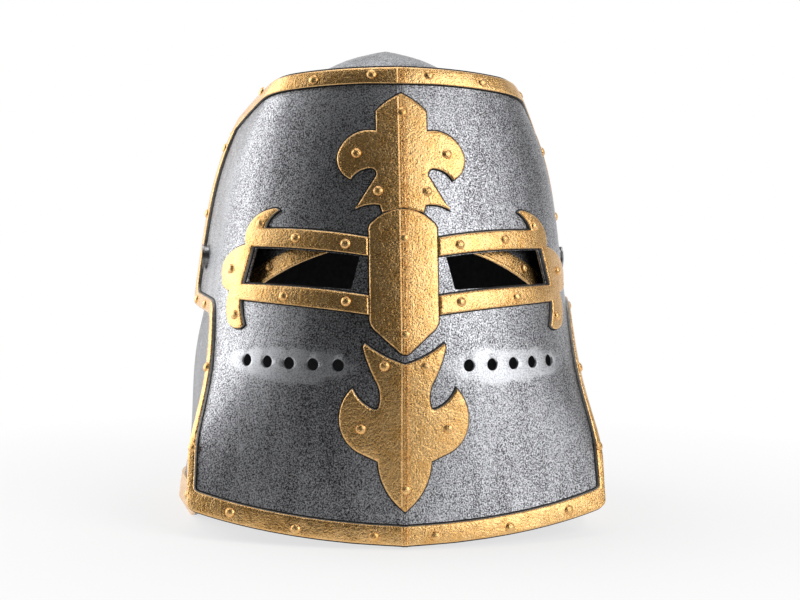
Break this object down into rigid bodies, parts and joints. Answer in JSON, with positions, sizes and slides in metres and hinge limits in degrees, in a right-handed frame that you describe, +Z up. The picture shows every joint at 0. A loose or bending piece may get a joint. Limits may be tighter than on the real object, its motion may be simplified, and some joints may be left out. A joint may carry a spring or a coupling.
{
  "type": "great helm",
  "caption": "Great helm with a keeled full-face visor on side pivots, long eye slots, breath holes and gilt riveted fleur ornament over a crowned skull.",
  "frame": {"origin": "centre of the footprint, on the floor that the rim of the skull stands on", "axes": "+Z up through the crown, -Y out of the face, +X to the wearer's left"},
  "size_m": [0.25, 0.2683, 0.2746],
  "materials": {
    "skull_steel": "antiqued, brushed",
    "visor_steel": "antiqued, pebbled, with black in the hollows",
    "gilt": "hammered gilt, satin",
    "gilt_rivet": "gilt, satin",
    "dark_steel": "browned, satin",
    "pivot_steel": "ground, satin",
    "lining_leather": "dark brown, matt",
    "lining_cloth": "black quilted cloth, matt"
  },
  "bodies": {
    "skull": {"skull_shell": "skull_steel", "crown_plate": "visor_steel", "face_edge": "gilt", "rim_band": "gilt", "crown_rivets": "dark_steel", "rim_rivets": "gilt_rivet", "lining_rivets": "dark_steel", "face_edge_rivets": "gilt_rivet", "lining_ring": "lining_leather", "crown_pad": "lining_cloth", "pivot_bolt_left": "pivot_steel", "pivot_washer_left": "pivot_steel", "pivot_boss_left": "pivot_steel", "pivot_nut_left": "pivot_steel", "pivot_bolt_right": "pivot_steel", "pivot_washer_right": "pivot_steel", "pivot_boss_right": "pivot_steel", "pivot_nut_right": "pivot_steel"},
    "visor": {"visor_plate": "visor_steel", "visor_top_band": "gilt", "visor_border": "gilt", "upper_fleur": "gilt", "nasal_plate": "gilt", "lower_fleur": "gilt", "sight_frame_left": "gilt", "sight_frame_right": "gilt", "upper_fleur_rivets": "gilt_rivet", "nasal_rivets": "gilt_rivet", "lower_fleur_rivets": "gilt_rivet", "top_band_rivets": "gilt_rivet", "border_rivets": "gilt_rivet", "sight_rivets_left": "gilt_rivet", "sight_rivets_right": "gilt_rivet", "pivot_bush_left": "pivot_steel", "pivot_bush_right": "pivot_steel"}
  },
  "joints": [
    {"name": "visor_hinge", "type": "hinge", "parent": "skull", "child": "visor", "pos_m": [0, 0.0215, 0.149], "axis": [-1, 0, 0], "range_deg": [0, 50]}
  ]
}
